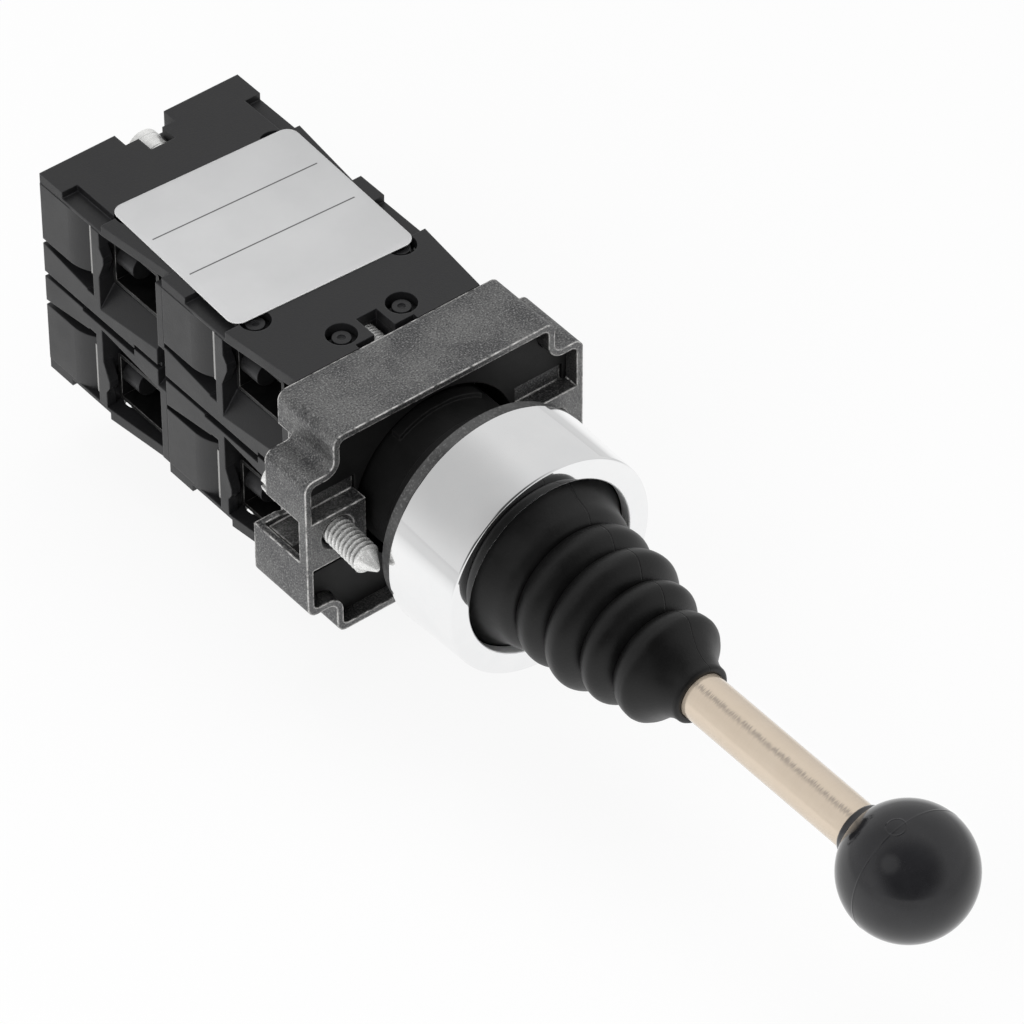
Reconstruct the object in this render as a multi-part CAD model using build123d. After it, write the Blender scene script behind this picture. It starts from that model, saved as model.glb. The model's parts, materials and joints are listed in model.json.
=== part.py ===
from build123d import *
import os

os.makedirs("parts", exist_ok=True)

# A panel-mounted four-way joystick switch, in millimetres.
# The origin is the centre of the neck at the front end of its full-size land, where the panel's
# front face comes to lie. The lever points along -Y, the contact blocks lie
# along +Y, and +Z is the label side of the blocks.

# Clearances
slip = 0.1
running = 0.05
seam_gap = 0.1

# Bezel, gasket and neck
bezel_radius = 15.0
bezel_front_radius = 14.63
bezel_length = 11.06
bezel_wall = 2.0
bezel_lip = 1.5
bezel_hole_radius = 11.75
bezel_edge = 0.3
gasket_radius = 14.4
gasket_thickness = 1.8
gasket_seat_gap = 0.1
gasket_groove = 0.4
neck_radius = 11.0
neck_land = 3.2
neck_relief = 0.5
neck_wall = 1.5
neck_tail = 13.3
neck_lug_height = 0.6
neck_lug_length = 1.5
neck_lug_half_width = 6.0
flange_length = 8.0
panel_room = 6.3

# Lever and gimbal
pivot_depth = 5.0
knob_radius = 8.1
knob_distance = 75.53
knob_collar_radius = 3.65
knob_collar_reach = 8.88
rod_radius = 3.0
rod_stud_radius = 2.4
rod_stud_length = 3.4
rod_insert = 6.5
hub_radius = 4.6
hub_front = 5.2
gimbal_radius = 8.2
gimbal_bore_radius = 5.8
gimbal_thickness = 4.0
pin_radius = 1.1
pin_setback = 0.2
foot_distance = 4.5
foot_thickness = 1.5
foot_radius = 7.6

# Bellows, measured forward from the front face of the bezel
bellows_wall = 0.9
bellows_collar_proud = 0.35
bellows_dome = (10.9, 1.5)
bellows_valleys = ((7.9, 3.9), (7.6, 8.9), (6.8, 14.0), (5.5, 18.5))
bellows_peaks = ((9.35, 6.24), (9.3, 11.64), (8.05, 16.34), (6.9, 21.2))
bellows_shoulder = (4.4, 25.5)
bellows_fold_share = 0.6
bellows_mouth = 27.24
bellows_bead_width = 3.0

# Pushers and their guide plate
pusher_offset = 6.5
pusher_radius = 1.2
pusher_lost_motion = 0.62
pusher_flange_radius = 2.0
pusher_flange_thickness = 0.8
pusher_flange_setback = 1.3
pusher_spring_wire = 0.5
pusher_spring_turns = 4
guide_plate_thickness = 2.0
guide_plate_seat = 10.5
guide_ledge = 0.8

# Bracket and base plate
bracket_depth = 10.5
bracket_wall = 0.85
bracket_web = 1.2
bracket_half_width = 20.4
wing_length = 4.2
wing_setback = 0.35
wing_half_height = 10.4
bracket_corner = 1.3
short_wing_cut = 2.9
clamp_inset = 4.5
clamp_z = 0.7
clamp_boss_low = 4.1
clamp_boss_high = 3.1
clamp_boss_thickness = 2.6
clamp_countersink = 0.4
side_notch_start = 1.4
side_notch_half_height = 3.2
bracket_hole_radius = 10.0
bar_low = 3.4
bar_high = 5.9
bar_inset = 1.6
bar_front_depth = 2.4
bar_inner = 11.9
base_plate_depth = 2.0
base_plate_thickness = 2.2
base_plate_hole_radius = 11.8
base_ring_radius = 12.9

# Clamp screws
clamp_screw_radius = 2.0
clamp_head_radius = 3.2
clamp_head_thickness = 2.4
clamp_head_start = 15.7
clamp_tip_start = -1.5
clamp_cone_length = 3.3
clamp_cone_end_radius = 0.35
slot_width = 0.8
slot_depth = 1.0

# Contact block
block_half_width = 14.75
block_height = 15.3
block_depth = 24.2
block_gap = 0.05
cover_thickness = 1.5
floor_thickness = 2.1
front_wall = 1.2
rear_wall = 1.3
cavity_half_width = 7.8
pocket_inner = 8.7
pocket_start = 1.2
pocket_end = 12.85
pocket_below_cage = 1.0
pocket_floor_rise = 0.5
pocket_front_fall = 2.1
pocket_rear_fall = 3.2
pocket_ramp = 2.2
rib_thickness = 1.35
rib_bulge = 1.05
rib_bulge_low = 2.5
rib_bulge_high = 2.2
seam_notch_height = 1.1
seam_notch_depth = 1.3
seam_notch_start = 6.2
seam_notch_end = 16.6
seam_edge_height = 0.7
seam_edge_depth = 0.6
slot_start = 14.0
slot_end = 15.4
cheek_bottom = 5.2
cheek_flat = 5.5
cheek_curve = 1.1
under_cheek_rear = 4.5
under_cheek_front = 3.0
under_cheek_depth = 2.4
cover_full_width = 4.5
cover_step_end = 12.3
cover_step_width = 2.3
cover_step_depth = 1.0
cover_taper = 1.3
pin_recess_radius = 1.95
stake_radius = 1.15
stake_top_below = 0.5
stake_dimple_radius = 0.5
stake_dimple_depth = 0.25
stake_inner = (4.4, 3.2)
stake_outer = (10.7, 11.4)
stake_shelf = 0.7
front_bar_depth = 4.6
front_bar_height = 5.8
tee_half_width = 4.3
tee_depth = 0.75
tee_slot_half_width = 1.5
tee_slot_depth = 4.25
tee_slot_height = 4.7
notch_half_width = 3.65
notch_depth = 2.25
notch_slot_half_width = 1.75
notch_slot_depth = 4.8

# Block screw, from its tapped head at the rear to its thread at the front
block_screw_below_top = 3.1
block_screw_radius = 1.3
block_screw_head_radius = 2.3
block_screw_head_length = 4.4
block_screw_head_setback = 0.4
block_screw_reach = 1.9
block_screw_boss_wall = 1.0

# Plunger carrier, contact bridge and fixed contacts
carrier_half_width = 1.45
carrier_start = 4.0
carrier_end = 20.8
carrier_low = 2.4
carrier_high = 8.8
carrier_window_start = 6.6
guide_rib_width = 1.0
guide_rib_height = 1.4
arm_thickness = 1.6
arm_high = 4.4
arm_outer = 7.6
arm_leg_width = 2.2
arm_slot_start = 1.9
arm_slot_end = 7.7
rod_channel_radius = 1.45
bridge_half_length = 7.0
bridge_half_width = 1.3
bridge_height = 6.8
bridge_thickness = 0.8
contact_x = 5.4
contact_radius = 1.3
contact_thickness = 0.5
contact_gap = 1.95
contact_spring_radius = 1.25
contact_spring_wire = 0.35
contact_spring_turns = 3
strip_inner = 4.0
strip_outer = 14.2
strip_thickness = 0.8
strip_below_top = 2.1

# Terminal cage and screw
terminal_x = 11.0
terminal_below_top = 6.1
cage_half_width = 2.0
cage_half_height = 3.6
cage_start = 3.0
cage_end = 12.2
cage_wall = 0.5
terminal_screw_radius = 1.75
terminal_screw_tip = 8.6
terminal_head_radius = 2.2
terminal_head_thickness = 2.6
terminal_well_radius = 2.45

# Sizes that follow from the values above
bezel_rear = -gasket_seat_gap - gasket_thickness
bezel_front = bezel_rear - bezel_length
bezel_bore_radius = bezel_radius - bezel_wall
lip_rear = bezel_front + bezel_lip
flange_front = bezel_rear - flange_length
flange_radius = bezel_bore_radius - slip
neck_bore_radius = neck_radius - neck_wall
pivot = -pivot_depth
foot_back = pivot + foot_distance + foot_thickness
pusher_tip = foot_back + pusher_lost_motion
pusher_flange_front = pusher_tip + pusher_flange_setback
guide_plate_front = guide_plate_seat - guide_plate_thickness
bracket_front = panel_room
bracket_rear = bracket_front + bracket_depth
bracket_half_height = block_height - slip
bracket_bar_half_width = bracket_half_width - wing_length
bar_outer = bracket_half_width - bar_inset
clamp_x = bracket_half_width - clamp_inset
base_plate_front = bracket_front + base_plate_depth
base_plate_rear = base_plate_front + base_plate_thickness
front_block_start = bracket_rear + block_gap
rear_block_start = front_block_start + block_depth + block_gap
clamp_head_way = clamp_head_radius + 3 * slip
cover_bottom = block_height - cover_thickness
block_screw_height = block_height - block_screw_below_top
terminal_height = block_height - terminal_below_top
cage_low = terminal_height - cage_half_height
pocket_rear_floor = cage_low - pocket_below_cage
pocket_front_floor = pocket_rear_floor + pocket_floor_rise
tee_slot_bottom = block_height - tee_slot_height
front_bar_bottom = block_height - front_bar_height
strip_top = block_height - strip_below_top
strip_front = slot_start + (slot_end - slot_start - strip_thickness) / 2
strip_rear = strip_front + strip_thickness
strip_low = bridge_height - bridge_half_width - slip
bridge_rear = strip_front - contact_thickness * 2 - contact_gap
bridge_front = bridge_rear - bridge_thickness


def slab(x0, x1, y0, y1, z0, z1):
    """A box given by its low and high faces."""
    centre = Pos((x0 + x1) / 2, (y0 + y1) / 2, (z0 + z1) / 2)
    return centre * Box(x1 - x0, y1 - y0, z1 - z0)


def along_y(radius, y0, y1, x=0, z=0):
    """A round bar along Y."""
    return Pos(x, (y0 + y1) / 2, z) * Rot(90, 0, 0) * Cylinder(radius, y1 - y0)


def along_x(radius, x0, x1, y=0, z=0):
    """A round bar along X."""
    return Pos((x0 + x1) / 2, y, z) * Rot(0, 90, 0) * Cylinder(radius, x1 - x0)


def along_z(radius, z0, z1, x=0, y=0):
    """A round bar along Z."""
    return Pos(x, y, (z0 + z1) / 2) * Cylinder(radius, z1 - z0)


def both_sides(shape):
    """A shape and its mirror image across X = 0."""
    return shape + mirror(shape, Plane.YZ)


def turned(points):
    """A body of revolution about Y from (radius, y) corners."""
    return revolve(make_face(Polyline(*points, close=True)), Axis.Y)


def coil(radius, wire, turns, start, end):
    """A compression spring of square wire about Y, between two seats."""
    rise = end - start - wire
    path = Helix(rise / turns, rise, radius - wire / 2)
    section = Plane(origin=path @ 0, z_dir=path % 0) * Rectangle(wire, wire)
    wound = sweep(section, path, is_frenet=True)
    return Pos(0, start + wire / 2, 0) * Rot(-90, 0, 0) * wound


def screw_slot(radius, y_face, width, depth, x=0, z=0):
    """The driver slot in a screw head whose outer face is at y_face."""
    return slab(x - radius, x + radius, y_face - depth, y_face + depth, z - width / 2, z + width / 2)


def make_bezel():
    """The plated ring that covers the head, with a lip that traps the bellows."""
    ring = turned(
        (
            (bezel_bore_radius, bezel_rear),
            (bezel_radius, bezel_rear),
            (bezel_front_radius, bezel_front + bezel_edge),
            (bezel_front_radius - bezel_edge, bezel_front),
            (bezel_hole_radius, bezel_front),
            (bezel_hole_radius, lip_rear),
            (bezel_bore_radius, lip_rear),
        )
    )
    return ring


def make_gasket():
    """The flat seal between the bezel and the panel, snapped into the neck's groove."""
    bore = neck_radius - gasket_groove + slip
    return turned(
        (
            (bore, bezel_rear),
            (gasket_radius, bezel_rear),
            (gasket_radius, -gasket_seat_gap),
            (bore, -gasket_seat_gap),
        )
    )


def make_head_body():
    """The flanged sleeve that passes through the panel and carries the gimbal."""
    relief_radius = neck_radius - neck_relief
    body = turned(
        (
            (neck_bore_radius, flange_front),
            (flange_radius, flange_front),
            (flange_radius, bezel_rear),
            (neck_radius - gasket_groove, bezel_rear),
            (neck_radius - gasket_groove, 0),
            (neck_radius, 0),
            (neck_radius, neck_land),
            (relief_radius, neck_land),
            (relief_radius, neck_tail),
            (neck_bore_radius - guide_ledge, neck_tail),
            (neck_bore_radius - guide_ledge, guide_plate_seat),
            (neck_bore_radius, guide_plate_seat),
        )
    )
    lug_start = panel_room + bracket_wall
    lug_band = along_y(relief_radius + neck_lug_height, lug_start, lug_start + neck_lug_length)
    lug_band -= along_y(relief_radius - neck_relief, lug_start, lug_start + neck_lug_length)
    lug_gate = slab(
        -neck_lug_half_width,
        neck_lug_half_width,
        lug_start,
        lug_start + neck_lug_length,
        -neck_radius,
        neck_radius,
    )
    body += lug_band & lug_gate
    body -= along_x(pin_radius + running, -flange_radius, flange_radius, pivot)
    return body


def make_gimbal_ring():
    """The ring between the lever and the head, bored on two crossed axes."""
    low = pivot - gimbal_thickness / 2
    high = pivot + gimbal_thickness / 2
    ring = along_y(gimbal_radius, low, high) - along_y(gimbal_bore_radius, low, high)
    ring -= along_x(pin_radius, -gimbal_radius, gimbal_radius, pivot)
    ring -= along_z(pin_radius, -gimbal_radius, gimbal_radius, 0, pivot)
    return ring


def make_trunnion_pins():
    """Two pins along X, pressed into the ring and turning in the head body."""
    inner = gimbal_bore_radius + pin_setback
    outer = flange_radius - pin_setback
    return both_sides(along_x(pin_radius, inner, outer, pivot))


def make_lever_pin():
    """The pin along Z, pressed into the ring, that the lever turns on."""
    reach = gimbal_radius - pin_setback
    return along_z(pin_radius, -reach, reach, 0, pivot)


def make_lever_foot():
    """The hub that turns on the lever pin, with the plate that tips the pushers."""
    hub_start = pivot - hub_front
    foot_front = pivot + foot_distance
    foot = along_y(hub_radius, hub_start, foot_front)
    foot += along_y(foot_radius, foot_front, foot_back)
    foot -= along_z(pin_radius + running, -hub_radius, hub_radius, 0, pivot)
    foot -= along_y(rod_stud_radius, hub_start, hub_start + rod_stud_length + slip)
    return foot


def make_lever_rod():
    """The bare metal lever with a stud that screws into the hub."""
    shoulder = pivot - hub_front
    front = -knob_distance + knob_collar_reach - rod_insert
    rod = along_y(rod_radius, front, shoulder)
    rod += along_y(rod_stud_radius, shoulder, shoulder + rod_stud_length)
    return rod


def make_knob():
    """The ball with the short collar that takes the rod."""
    collar_end = -knob_distance + knob_collar_reach
    knob = Pos(0, -knob_distance, 0) * Sphere(knob_radius)
    knob += along_y(knob_collar_radius, -knob_distance, collar_end)
    knob -= along_y(rod_radius, collar_end - rod_insert, collar_end)
    return knob


def fold_side(valley, peak):
    """The corner that rounds a fold between its valley and its peak."""
    radius = valley[0] + (peak[0] - valley[0]) * (1 + bellows_fold_share) / 2
    reach = peak[1] + (valley[1] - peak[1]) * bellows_fold_share
    return radius, reach


def bellows_outline(inset):
    """The corners of the bellows from the dome to the mouth, moved inward by inset."""
    spots = [bellows_dome, bellows_valleys[0]]
    ends = bellows_valleys[1:] + (bellows_shoulder,)
    for valley, peak, end in zip(bellows_valleys, bellows_peaks, ends):
        spots += [fold_side(valley, peak), peak, fold_side(end, peak), end]
    return [(radius - inset, bezel_front - reach) for radius, reach in spots]


def make_bellows():
    """The rubber boot: a bead under the bezel's lip, folds, and a mouth that grips the rod."""
    collar = bezel_hole_radius - slip
    proud = bezel_front - bellows_collar_proud
    bead_rear = flange_front - slip / 2
    bead_front = lip_rear + slip / 2
    bead_outer = bezel_bore_radius - slip
    bead_inner = bead_outer - bellows_bead_width
    mouth = bezel_front - bellows_mouth
    mouth_inner = rod_radius + running / 2
    bead = [
        (bead_inner, proud),
        (bead_inner, bead_rear),
        (bead_outer, bead_rear),
        (bead_outer, bead_front),
        (collar, bead_front),
        (collar, proud),
    ]
    lip = [(mouth_inner + bellows_wall / 2, mouth), (mouth_inner, mouth)]
    inner = bellows_outline(bellows_wall)
    return turned(bead + bellows_outline(0) + lip + inner[::-1])


def make_pusher(x, z, end):
    """A round pusher with a domed tip and a flange for its spring."""
    dome_centre = pusher_tip + pusher_radius
    pusher = Pos(x, dome_centre, z) * Sphere(pusher_radius)
    pusher += along_y(pusher_radius, dome_centre, end, x, z)
    flange_back = pusher_flange_front + pusher_flange_thickness
    pusher += along_y(pusher_flange_radius, pusher_flange_front, flange_back, x, z)
    return pusher


def make_pusher_spring(x, z):
    """The return spring between a pusher's flange and the guide plate."""
    wound = coil(
        pusher_flange_radius,
        pusher_spring_wire,
        pusher_spring_turns,
        pusher_flange_front + pusher_flange_thickness + running,
        guide_plate_front - running,
    )
    return Pos(x, 0, z) * wound


def make_guide_plate(spots):
    """The plate in the neck that guides the pushers and carries their springs."""
    plate = along_y(neck_bore_radius - running, guide_plate_front, guide_plate_seat)
    for x, z in spots:
        plate -= along_y(pusher_radius + running, guide_plate_front, guide_plate_seat, x, z)
    return plate


def tray_outline(inset):
    """The bracket's cross-shaped outline in the XZ plane, as a face looking along Y."""
    bar = bracket_bar_half_width - inset
    wing = bracket_half_width - inset
    height = bracket_half_height - inset
    wing_height = wing_half_height - inset
    cross = Rectangle(2 * bar, 2 * height) + Rectangle(2 * wing, 2 * wing_height)
    inner_corner = Vector(bar, wing_height).length
    convex = [v for v in cross.vertices() if Vector(v.X, v.Y).length > inner_corner + slip]
    cross = fillet(convex, bracket_corner - inset / 2)
    concave = [v for v in cross.vertices() if Vector(v.X, v.Y).length < inner_corner + slip]
    return fillet(concave, bracket_corner + inset)


def tray_solid(inset, y0, y1):
    """The tray's outline given depth along Y."""
    face = Pos(0, y0, 0) * Rot(90, 0, 0) * tray_outline(inset)
    return extrude(face, y1 - y0, dir=(0, 1, 0))


def half_turn(shape):
    """A shape and its copy turned half a turn about Y."""
    return shape + Rot(0, 180, 0) * shape


def make_bracket():
    """The cast tray behind the panel, open to the front, that carries the blocks."""
    web_front = bracket_rear - bracket_web
    tray = tray_solid(0, bracket_front, bracket_rear)
    tray -= tray_solid(bracket_wall, bracket_front, web_front)
    short_rear = bracket_rear - short_wing_cut
    reach = bracket_half_width + slip
    cut_low = clamp_z + side_notch_half_height
    short = slab(-reach, -block_half_width - slip, short_rear, bracket_rear, cut_low, bracket_half_height)
    short &= tray_solid(0, bracket_front, bracket_rear)
    corner = slab(-bracket_bar_half_width, 0, short_rear, bracket_rear, wing_half_height, bracket_half_height)
    shelf_low = (-bracket_half_width + bracket_wall, short_rear - bracket_web)
    shelf_high = (-block_half_width, cut_low, wing_half_height - bracket_wall)
    shelf = slab(shelf_low[0], shelf_high[0], shelf_low[1], short_rear, shelf_high[1], shelf_high[2])
    tray -= half_turn(short - corner)
    tray += half_turn(shelf)
    notch = slab(
        -reach,
        -bracket_bar_half_width + bracket_wall,
        bracket_front + side_notch_start,
        bracket_rear,
        clamp_z - side_notch_half_height,
        clamp_z + side_notch_half_height,
    )
    tray -= half_turn(notch)
    boss_rear = bracket_front + clamp_boss_thickness
    boss = slab(
        -bracket_half_width + bracket_wall,
        -base_plate_hole_radius,
        bracket_front,
        boss_rear,
        clamp_z - clamp_boss_low,
        clamp_z + clamp_boss_high,
    )
    tray += half_turn(boss - along_y(base_plate_hole_radius, bracket_front, boss_rear))
    bar_front = bracket_front + bar_front_depth
    for low, high, bar_rear in ((bar_low, bar_high, short_rear), (-bar_high, -bar_low, web_front)):
        bar = slab(-bar_outer, -bar_inner, bar_front, base_plate_rear, low, high)
        bar += slab(-bar_outer, -base_ring_radius - slip, base_plate_rear, bar_rear, low, high)
        tray += half_turn(bar)
    wing_rear = bracket_rear - wing_setback
    for side in (-1, 1):
        outer, inner = side * reach, side * bracket_bar_half_width
        low, high = sorted((outer, inner))
        tray -= slab(low, high, wing_rear, bracket_rear, -bracket_half_height, bracket_half_height)
    tray -= along_y(bracket_hole_radius, bracket_front, bracket_rear)
    tray -= half_turn(along_y(clamp_screw_radius, bracket_front, web_front, -clamp_x, clamp_z))
    sunk = clamp_screw_radius + clamp_countersink
    funnel = turned(
        (
            (0, bracket_front),
            (sunk, bracket_front),
            (clamp_screw_radius, bracket_front + clamp_countersink),
            (0, bracket_front + clamp_countersink),
        )
    )
    tray -= half_turn(Pos(-clamp_x, 0, clamp_z) * funnel)
    tray -= half_turn(along_y(clamp_head_way, web_front, bracket_rear, -clamp_x, clamp_z))
    tray -= half_turn(along_y(block_screw_radius, web_front, bracket_rear, 0, block_screw_height))
    return tray


def make_base_plate():
    """The black plate in the tray, with a ring for the neck and windows for the cast bars."""
    front, rear = base_plate_front, base_plate_rear
    plate = tray_solid(bracket_wall + slip, front, rear)
    plate += along_y(base_ring_radius, front, bracket_rear - bracket_web)
    plate -= along_y(base_plate_hole_radius, front, bracket_rear)
    for low, high in ((bar_low, bar_high), (-bar_high, -bar_low)):
        window = slab(-bar_outer - slip, -bar_inner + slip, front, rear, low - slip, high + slip)
        plate -= half_turn(window)
    boss_rear = bracket_front + clamp_boss_thickness + slip
    inner = -base_plate_hole_radius + slip
    boss_low = clamp_z - clamp_boss_low - slip
    boss_high = clamp_z + clamp_boss_high + slip
    room = slab(-bracket_half_width, inner, front, boss_rear, boss_low, boss_high)
    notch_room = side_notch_half_height + slip
    room += slab(-bracket_half_width, -clamp_x, front, rear, clamp_z - notch_room, clamp_z + notch_room)
    room += along_y(clamp_screw_radius + 3 * slip, front, bracket_rear, -clamp_x, clamp_z)
    tip_start = front_block_start - block_screw_reach - slip
    room += along_y(block_screw_radius + slip, tip_start, bracket_rear, 0, block_screw_height)
    return plate - half_turn(room)


def make_clamp_screws():
    """Two slotted screws whose pointed ends bear on the back of the panel."""
    head_end = clamp_head_start + clamp_head_thickness
    cone_start = clamp_tip_start + clamp_cone_length
    cone = turned(
        (
            (0, clamp_tip_start),
            (clamp_cone_end_radius, clamp_tip_start),
            (clamp_screw_radius, cone_start),
            (clamp_screw_radius, clamp_head_start),
            (clamp_head_radius, clamp_head_start),
            (clamp_head_radius, head_end),
            (0, head_end),
        )
    )
    cone -= screw_slot(clamp_head_radius, head_end, slot_width, slot_depth)
    return half_turn(Pos(-clamp_x, 0, clamp_z) * cone)


def make_block_screw():
    """A long screw with a tapped, slotted head, so that the next block's screw enters it."""
    head_end = block_depth - block_screw_head_setback
    head_start = head_end - block_screw_head_length
    z = block_screw_height
    screw = along_y(block_screw_radius, -block_screw_reach, head_start, 0, z)
    screw += along_y(block_screw_head_radius, head_start, head_end, 0, z)
    screw -= along_y(block_screw_radius, head_start + slip, head_end, 0, z)
    screw -= screw_slot(block_screw_head_radius, head_end, slot_width, slot_depth, 0, z)
    return screw


def pocket_face(y, floor_outer, floor_inner):
    """The wire pocket's section on the +X side at one depth."""
    mouth = block_half_width + slip
    corners = (
        (pocket_inner, floor_inner),
        (block_half_width - pocket_ramp, floor_inner),
        (mouth, floor_outer),
        (mouth, cover_bottom),
        (pocket_inner, cover_bottom),
    )
    return make_face(Polyline(*[(x, y, z) for x, z in corners], close=True))


def pocket_cut():
    """The wire pocket on the +X side, with a falling ramp at its mouth and a bulged rear rib."""
    front = pocket_face(pocket_start, pocket_front_floor - pocket_front_fall, pocket_front_floor)
    rear = pocket_face(pocket_end, pocket_rear_floor - pocket_rear_fall, pocket_rear_floor)
    rib_inner = block_half_width - rib_thickness
    crest = pocket_end - rib_bulge
    corners = (
        (pocket_end, terminal_height - rib_bulge_low),
        (crest, terminal_height + slip),
        (crest, terminal_height + rib_bulge_high / 2),
        (pocket_end - rib_bulge / 3, terminal_height + rib_bulge_high),
        (pocket_end - rib_bulge / 3, cover_bottom),
        (pocket_end, cover_bottom),
    )
    bulge = make_face(Polyline(*[(rib_inner, y, z) for y, z in corners], close=True))
    return loft([front, rear], ruled=True) - extrude(bulge, rib_thickness + slip, dir=(1, 0, 0))


def seam_cut():
    """The gaps along the seam: a deep notch and a shallow edge on +X, a shallow edge on -X."""
    mouth = block_half_width + slip
    notch_inner = block_half_width - seam_notch_depth
    edge_inner = block_half_width - seam_edge_depth
    cut = slab(notch_inner, mouth, seam_notch_start, seam_notch_end, 0, seam_notch_height)
    cut += slab(edge_inner, mouth, seam_notch_end, block_depth, 0, seam_edge_height)
    return cut + slab(-mouth, -edge_inner, 0, seam_notch_start, 0, seam_edge_height)


def cheek_cut():
    """What is taken off the +X side behind the slot: the cheek's curved end and the gap below it."""
    mouth = block_half_width + slip
    flat_start = block_depth - cheek_flat
    middle = (flat_start + slot_end) / 2
    wires = [
        ThreePointArc(
            (block_half_width, flat_start),
            (block_half_width - cheek_curve / 4, middle),
            (block_half_width - cheek_curve, slot_end),
        ),
        Polyline((block_half_width - cheek_curve, slot_end), (mouth, slot_end), (mouth, flat_start)),
        Line((mouth, flat_start), (block_half_width, flat_start)),
    ]
    curved = Pos(0, 0, cheek_bottom) * extrude(make_face(wires), cover_bottom - cheek_bottom)
    inner = block_half_width - under_cheek_depth
    corners = (
        (block_depth, under_cheek_rear),
        (block_depth, cheek_bottom),
        (slot_start, cheek_bottom),
        (slot_start, under_cheek_front),
    )
    face = make_face(Polyline(*[(inner, y, z) for y, z in corners], close=True))
    return curved + extrude(face, mouth - inner, dir=(1, 0, 0))


def make_housing():
    """The block's moulded tray, in its own place: front face at Y = 0, seam at Z = 0."""
    mouth = block_half_width + slip
    body = slab(-block_half_width, block_half_width, 0, block_depth, seam_gap, cover_bottom)
    floor = seam_gap + floor_thickness
    cavity = slab(
        -cavity_half_width,
        cavity_half_width,
        front_wall,
        block_depth - rear_wall,
        floor,
        cover_bottom,
    )
    front_bar = slab(-cavity_half_width, cavity_half_width, 0, front_bar_depth, front_bar_bottom, cover_bottom)
    head_end = block_depth - block_screw_head_setback
    head_start = head_end - block_screw_head_length
    head_boss_half = block_screw_head_radius + block_screw_boss_wall
    head_boss = slab(
        -head_boss_half,
        head_boss_half,
        head_start - block_screw_boss_wall,
        block_depth,
        block_screw_height - head_boss_half,
        cover_bottom,
    )
    body -= cavity - front_bar - head_boss
    shelf = slab(
        stake_outer[0] - pin_recess_radius,
        block_half_width - under_cheek_depth,
        stake_outer[1] - pin_recess_radius,
        pocket_end,
        cover_bottom - stake_shelf,
        cover_bottom,
    )
    slot = slab(pocket_inner, mouth, slot_start, slot_end, under_cheek_front, cover_bottom)
    strip_way = slab(
        cavity_half_width - slip,
        pocket_inner + slip,
        slot_start,
        slot_end,
        strip_low - slip,
        bridge_height + bridge_half_width + 2 * slip,
    )
    well = along_y(terminal_well_radius, slot_end, block_depth, terminal_x, terminal_height)
    shank_way = along_y(
        terminal_screw_radius + slip,
        pocket_end,
        slot_start,
        terminal_x,
        terminal_height,
    )
    body -= both_sides((pocket_cut() - shelf) + cheek_cut() + slot + strip_way + well + shank_way)
    body -= seam_cut()
    stake_top = block_height - stake_top_below
    for x, y in (stake_inner, stake_outer):
        body += both_sides(along_z(stake_radius, cover_bottom, stake_top, x, y))
        body -= both_sides(along_z(stake_dimple_radius, stake_top - stake_dimple_depth, stake_top, x, y))
    guide_inner = carrier_half_width + slip
    guide = slab(
        guide_inner,
        guide_inner + guide_rib_width,
        slot_end,
        block_depth - rear_wall,
        floor,
        floor + guide_rib_height,
    )
    body += both_sides(guide)
    body -= both_sides(along_y(rod_channel_radius, 0, block_depth, pusher_offset, 0))
    body -= along_y(pusher_radius + 3 * slip, 0, front_wall, 0, pusher_offset)
    leg_low = -arm_outer - 2 * slip
    body -= slab(leg_low, leg_low + arm_leg_width + 4 * slip, arm_slot_start, arm_slot_end, seam_gap, floor)
    body -= along_y(block_screw_radius + slip, 0, block_depth, 0, block_screw_height)
    body -= along_y(block_screw_head_radius + slip, head_start, block_depth, 0, block_screw_height)
    body -= slab(-tee_half_width, tee_half_width, 0, tee_depth, tee_slot_bottom, cover_bottom)
    body -= slab(-tee_slot_half_width, tee_slot_half_width, 0, tee_slot_depth, tee_slot_bottom, cover_bottom)
    body -= slab(
        -notch_half_width,
        notch_half_width,
        block_depth - notch_depth,
        block_depth,
        block_screw_height,
        cover_bottom,
    )
    relief_depth = clamp_head_start + clamp_head_thickness - front_block_start + 3 * slip
    body -= along_y(clamp_head_way, 0, relief_depth, -clamp_x, clamp_z)
    body -= along_y(clamp_head_way, 0, relief_depth, clamp_x, -clamp_z)
    return body


def make_cover():
    """The block's flat lid, with stepped and tapered long edges and recesses for the stakes."""
    edge = block_half_width - slip / 2
    step = block_depth - cover_step_end
    wide = block_depth - cover_full_width
    outline = [
        (0, 0),
        (block_half_width - cover_taper, 0),
        (edge, step),
        (edge, block_depth),
        (0, block_depth),
    ]
    half = extrude(make_face(Polyline(*outline, close=True)), cover_thickness)
    lid = Pos(0, 0, cover_bottom) * both_sides(half)
    step_low = block_height - cover_step_depth
    side_step = slab(edge - cover_step_width, edge, step, wide, step_low, block_height)
    lid -= both_sides(side_step)
    for x, y in (stake_inner, stake_outer):
        lid -= both_sides(along_z(pin_recess_radius, cover_bottom, block_height, x, y))
    lid -= slab(-tee_half_width, tee_half_width, 0, tee_depth, cover_bottom, block_height)
    lid -= slab(-tee_slot_half_width, tee_slot_half_width, 0, tee_slot_depth, cover_bottom, block_height)
    notch_start = block_depth - notch_depth
    lid -= slab(-notch_half_width, notch_half_width, notch_start, block_depth, cover_bottom, block_height)
    slot_low = block_depth - notch_slot_depth
    lid -= slab(
        -notch_slot_half_width,
        notch_slot_half_width,
        slot_low,
        block_depth,
        cover_bottom,
        block_height,
    )
    return lid


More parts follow.
